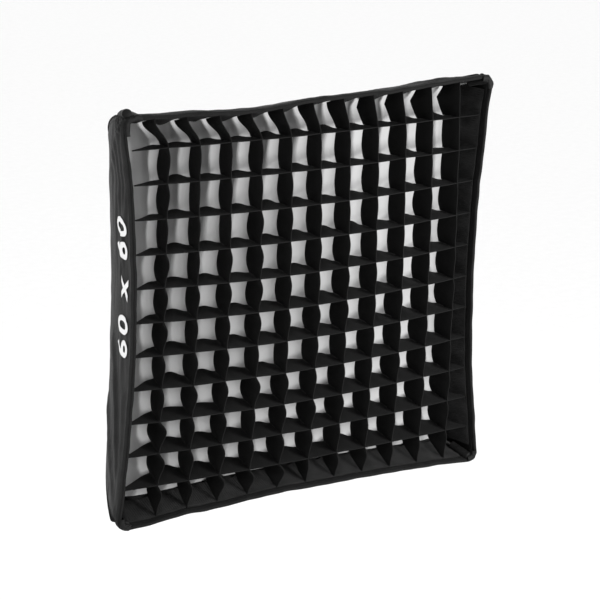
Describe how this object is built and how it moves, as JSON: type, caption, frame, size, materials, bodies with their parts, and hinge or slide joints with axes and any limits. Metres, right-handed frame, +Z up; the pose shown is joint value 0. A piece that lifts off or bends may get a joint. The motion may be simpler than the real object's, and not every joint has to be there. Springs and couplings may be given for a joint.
{
  "type": "square softbox",
  "caption": "Square fabric softbox on a bayonet speed ring, bowed on corner rods, with a white front diffuser, an inner baffle and a lift-off egg-crate grid.",
  "frame": {"origin": "centre of the bayonet insert's seat, on the box's axis, where the light's front ring meets it", "axes": "-Y the way the softbox throws its light, +Y into the light it is fixed to, +Z up, +X to the right as seen from the front"},
  "size_m": [0.6, 0.361, 0.6018],
  "materials": {
    "insert_steel": "satin plated steel",
    "ring_alloy": "satin black die casting",
    "plated_steel": "zinc plated",
    "knob_plastic": "moulded black",
    "rod_steel": "spring steel",
    "ferrule_steel": "satin",
    "tip_plastic": "moulded black",
    "black_nylon": "coated nylon, black outside and silver inside",
    "binding_tape": "woven tape",
    "loop_tape": "loop pile in fine ribs",
    "hook_tape": "hook tape",
    "diffusion_cloth": "satin white diffusion cloth",
    "grid_fabric": "black nylon"
  },
  "bodies": {
    "light_mount": {"bayonet_insert": "insert_steel"},
    "softbox": {"speed_ring": "ring_alloy", "retaining_clips": "plated_steel", "clip_screws": "plated_steel", "rear_gussets": "black_nylon", "inner_baffle": "diffusion_cloth", "baffle_clips": "knob_plastic", "baffle_straps": "binding_tape", "rod_top_right": "rod_steel", "rod_ferrule_top_right": "ferrule_steel", "rod_tip_top_right": "tip_plastic", "corner_pocket_top_right": "binding_tape", "seam_tape_top_right": "binding_tape", "rod_bottom_right": "rod_steel", "rod_ferrule_bottom_right": "ferrule_steel", "rod_tip_bottom_right": "tip_plastic", "corner_pocket_bottom_right": "binding_tape", "seam_tape_bottom_right": "binding_tape", "rod_bottom_left": "rod_steel", "rod_ferrule_bottom_left": "ferrule_steel", "rod_tip_bottom_left": "tip_plastic", "corner_pocket_bottom_left": "binding_tape", "seam_tape_bottom_left": "binding_tape", "rod_top_left": "rod_steel", "rod_ferrule_top_left": "ferrule_steel", "rod_tip_top_left": "tip_plastic", "corner_pocket_top_left": "binding_tape", "seam_tape_top_left": "binding_tape", "shell_right": "black_nylon", "hem_right": "binding_tape", "lip_loop_tape_right": "loop_tape", "collar_flap_right": "black_nylon", "shell_bottom": "black_nylon", "hem_bottom": "binding_tape", "lip_loop_tape_bottom": "loop_tape", "collar_flap_bottom": "black_nylon", "shell_left": "black_nylon", "hem_left": "binding_tape", "lip_loop_tape_left": "loop_tape", "collar_flap_left": "black_nylon", "shell_top": "black_nylon", "hem_top": "binding_tape", "lip_loop_tape_top": "loop_tape", "collar_flap_top": "black_nylon"},
    "lock_knob_left": {"lock_knob_left": "knob_plastic"},
    "lock_knob_right": {"lock_knob_right": "knob_plastic"},
    "lock_screw_left": {"lock_screw_left": "plated_steel"},
    "lock_screw_right": {"lock_screw_right": "plated_steel"},
    "front_diffuser": {"front_diffuser": "diffusion_cloth", "diffuser_edge_tapes": "hook_tape"},
    "grid": {"grid_level_strips": "grid_fabric", "grid_upright_strips": "grid_fabric", "grid_border_right": "grid_fabric", "grid_border_bottom": "grid_fabric", "grid_border_left": "grid_fabric", "grid_border_top": "grid_fabric"}
  },
  "joints": [
    {"name": "box_spin", "type": "hinge", "parent": "light_mount", "child": "softbox", "pos_m": [0, 0, 0], "axis": [0, 1, 0], "continuous": true},
    {"name": "knob_turn_left", "type": "hinge", "parent": "softbox", "child": "lock_knob_left", "pos_m": [-0.103, -0.007, 0], "axis": [-1, 0, 0], "range_deg": [-1080, 0]},
    {"name": "knob_turn_right", "type": "hinge", "parent": "softbox", "child": "lock_knob_right", "pos_m": [0.103, -0.007, 0], "axis": [1, 0, 0], "range_deg": [-1080, 0]},
    {"name": "screw_travel_left", "type": "slide", "parent": "softbox", "child": "lock_screw_left", "axis": [1, 0, 0], "range_m": [-0.003, 0]},
    {"name": "screw_travel_right", "type": "slide", "parent": "softbox", "child": "lock_screw_right", "axis": [-1, 0, 0], "range_m": [-0.003, 0]},
    {"name": "diffuser_peel", "type": "slide", "parent": "softbox", "child": "front_diffuser", "axis": [0, -1, 0], "range_m": [0, 0.16]},
    {"name": "grid_peel", "type": "slide", "parent": "front_diffuser", "child": "grid", "axis": [0, -1, 0], "range_m": [0, 0.16]}
  ],
  "couplings": [
    {"joint": "screw_travel_left", "follows": "knob_turn_left", "m_per_rad": 0.00015915},
    {"joint": "screw_travel_right", "follows": "knob_turn_right", "m_per_rad": 0.00015915}
  ]
}
